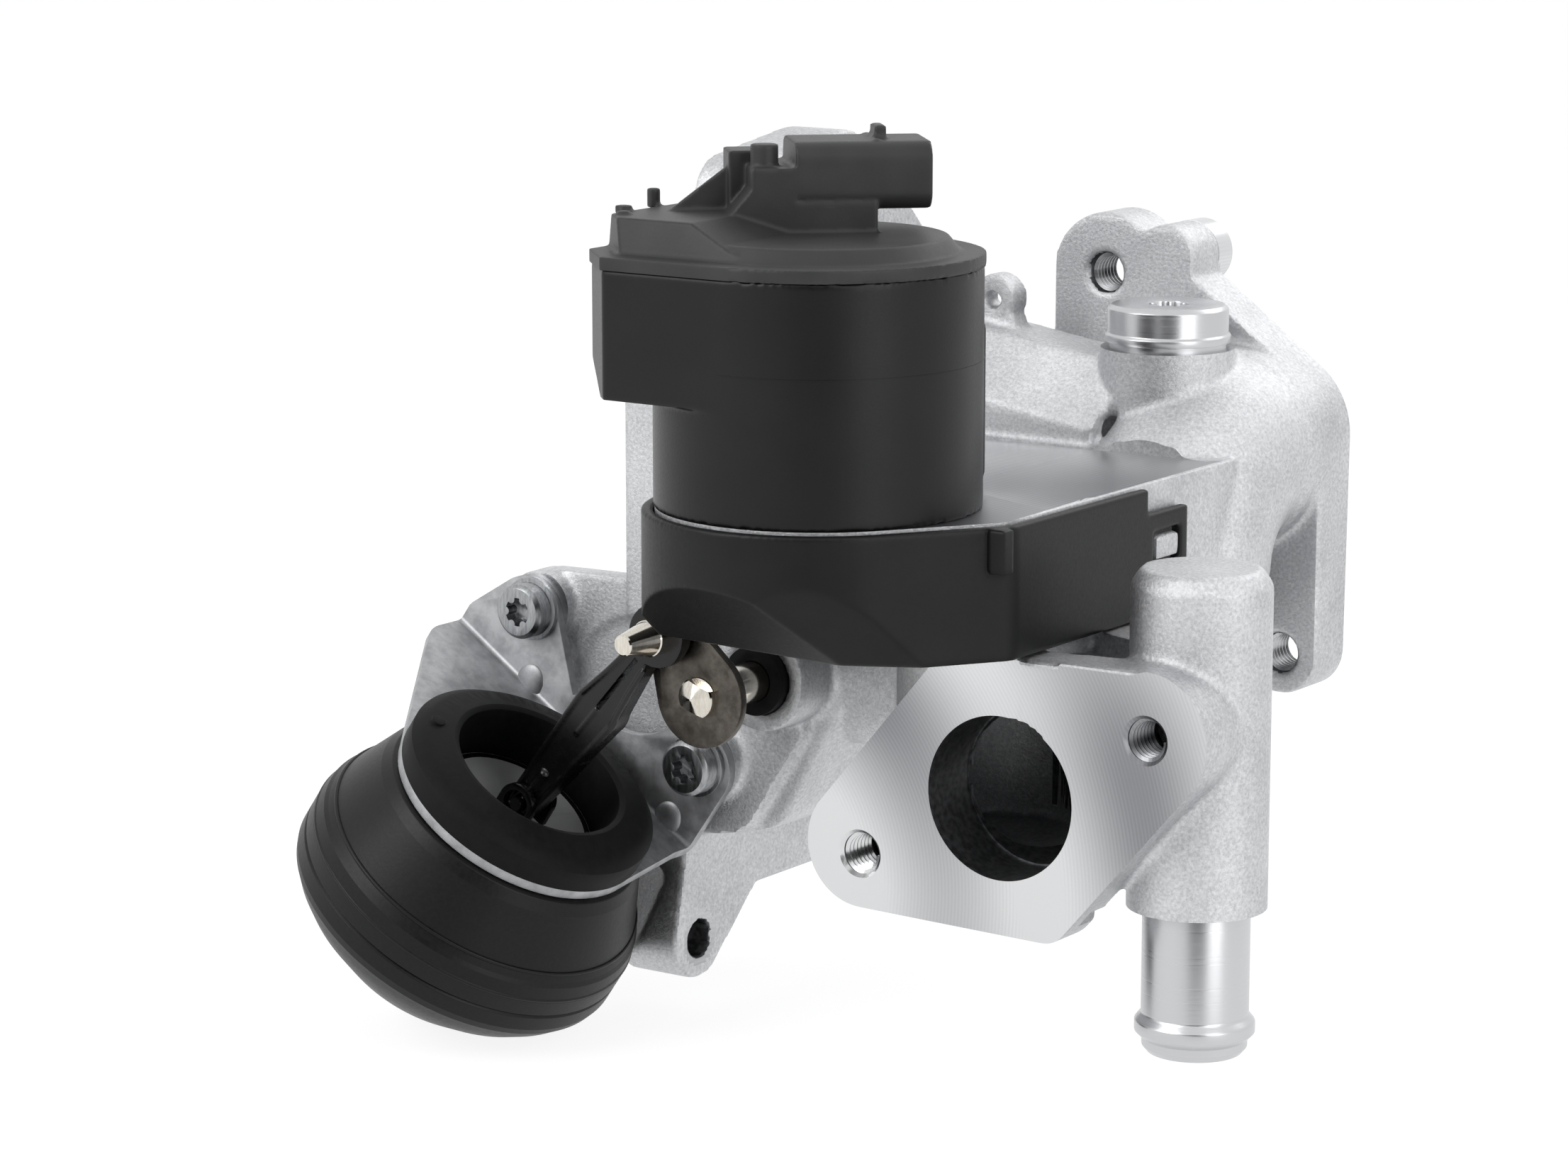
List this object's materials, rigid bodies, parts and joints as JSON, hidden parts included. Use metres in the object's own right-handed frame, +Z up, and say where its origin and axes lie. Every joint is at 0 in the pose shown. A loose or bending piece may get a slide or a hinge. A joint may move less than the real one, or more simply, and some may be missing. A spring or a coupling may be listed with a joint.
{
  "type": "egr valve",
  "caption": "Exhaust gas recirculation valve: cast aluminium body with an electric poppet drive, a cooler bypass flap and its vacuum actuator, ready to bolt to a manifold and a cooler.",
  "frame": {"origin": "Centre of the gas inlet on the machined face of the inlet flange", "axes": "-Y points out of the gas inlet, +X runs along the inlet flange to the coolant spigot, +Z is up along the motor's axis"},
  "size_m": [0.1943, 0.1742, 0.1828],
  "materials": {
    "cast_aluminium": "sandblasted die casting with machined faces",
    "turned_aluminium": "turned bright",
    "moulded_plastic": "fine moulded grain",
    "cap_plastic": "fine moulded grain",
    "gear_plastic": "moulded natural",
    "board": "coated board",
    "rubber": "matt moulded rubber",
    "steel": "machined",
    "polished_steel": "ground and polished",
    "sheet_steel": "zinc-coated sheet, satin",
    "shell_steel": "black coating, satin",
    "copper": "bare copper",
    "bronze": "sintered bronze",
    "magnet": "sintered",
    "carbon": "pressed carbon"
  },
  "bodies": {
    "housing": {"valve_housing": "cast_aluminium", "coolant_spigot": "turned_aluminium", "duct_plug": "turned_aluminium", "plug_washer": "turned_aluminium", "clip_cover": "moulded_plastic", "motor_housing": "moulded_plastic", "motor_cap": "cap_plastic", "cap_seal": "rubber", "connector_terminals": "copper", "circuit_board": "board", "position_sensor": "moulded_plastic", "motor_can": "steel", "motor_magnets": "magnet", "brush_holder": "gear_plastic", "motor_brushes": "carbon", "motor_bearings": "bronze", "motor_screws": "steel", "middle_gear_axle": "steel", "guide_sleeve": "steel", "stem_guide": "bronze", "stem_seal": "rubber", "valve_seat": "steel", "return_spring": "steel", "flap_bushes": "bronze", "shaft_seal": "rubber", "actuator_bracket": "sheet_steel", "bracket_screws": "steel", "actuator_collar": "rubber", "upper_shell": "shell_steel", "lower_shell": "shell_steel", "vacuum_nipple": "shell_steel", "diaphragm": "rubber", "actuator_spring": "steel"},
    "rotor": {"rotor_shaft": "polished_steel", "armature_core": "steel", "armature_winding": "copper", "commutator": "copper", "sensor_magnet": "magnet", "drive_pinion": "steel"},
    "middle": {"middle_gear": "gear_plastic"},
    "lifter": {"lifting_gear": "gear_plastic"},
    "valve": {"valve_stem": "polished_steel", "poppet": "steel", "lift_pin": "polished_steel", "spring_retainer": "steel"},
    "flap": {"bypass_shaft": "polished_steel", "bypass_flap": "steel", "flap_rivets": "steel", "crank_lever": "steel", "crank_pin": "polished_steel"},
    "link": {"link_arm": "moulded_plastic"},
    "piston": {"piston": "cap_plastic"}
  },
  "joints": [
    {"name": "rotor_spin", "type": "hinge", "parent": "housing", "child": "rotor", "pos_m": [-0.036, -0.007, 0.06], "axis": [0, 0, 1], "range_deg": [0, 840], "stiffness_Nm_per_rad": 0.00035, "springref_deg": -1661.58},
    {"name": "middle_spin", "type": "hinge", "parent": "housing", "child": "middle", "pos_m": [-0.02258, 0.00899, 0.036], "axis": [0, 0, 1], "range_deg": [-260, 8]},
    {"name": "lifter_spin", "type": "hinge", "parent": "housing", "child": "lifter", "pos_m": [-0.01881, 0.03035, 0.04], "axis": [0, 0, 1], "range_deg": [-2, 74]},
    {"name": "valve_lift", "type": "slide", "parent": "housing", "child": "valve", "axis": [0, 0, -1], "range_m": [-0.0001, 0.0051], "stiffness_N_per_m": 40, "springref_m": -0.02, "deforming": ["return_spring"]},
    {"name": "flap_turn", "type": "hinge", "parent": "housing", "child": "flap", "pos_m": [-0.065, 0, 0.012], "axis": [0, -1, 0], "range_deg": [-3, 53]},
    {"name": "link_swing", "type": "hinge", "parent": "flap", "child": "link", "pos_m": [-0.0719, -0.0075, 0.02395], "axis": [0, -1, 0], "range_deg": [-53, 3]},
    {"name": "piston_slide", "type": "slide", "parent": "housing", "child": "piston", "axis": [-0.5707, 0, -0.8211], "range_m": [0, 0.01167], "stiffness_N_per_m": 60, "springref_m": -0.02, "deforming": ["actuator_spring", "diaphragm"]}
  ],
  "couplings": [
    {"joint": "middle_spin", "follows": "rotor_spin", "ratio": -0.3},
    {"joint": "lifter_spin", "follows": "rotor_spin", "ratio": 0.085714},
    {"joint": "valve_lift", "follows": "rotor_spin", "m_per_rad": 0.00034105},
    {"joint": "flap_turn", "follows": "piston_slide", "rad_per_m": 74.79},
    {"joint": "link_swing", "follows": "piston_slide", "rad_per_m": -74.79}
  ]
}
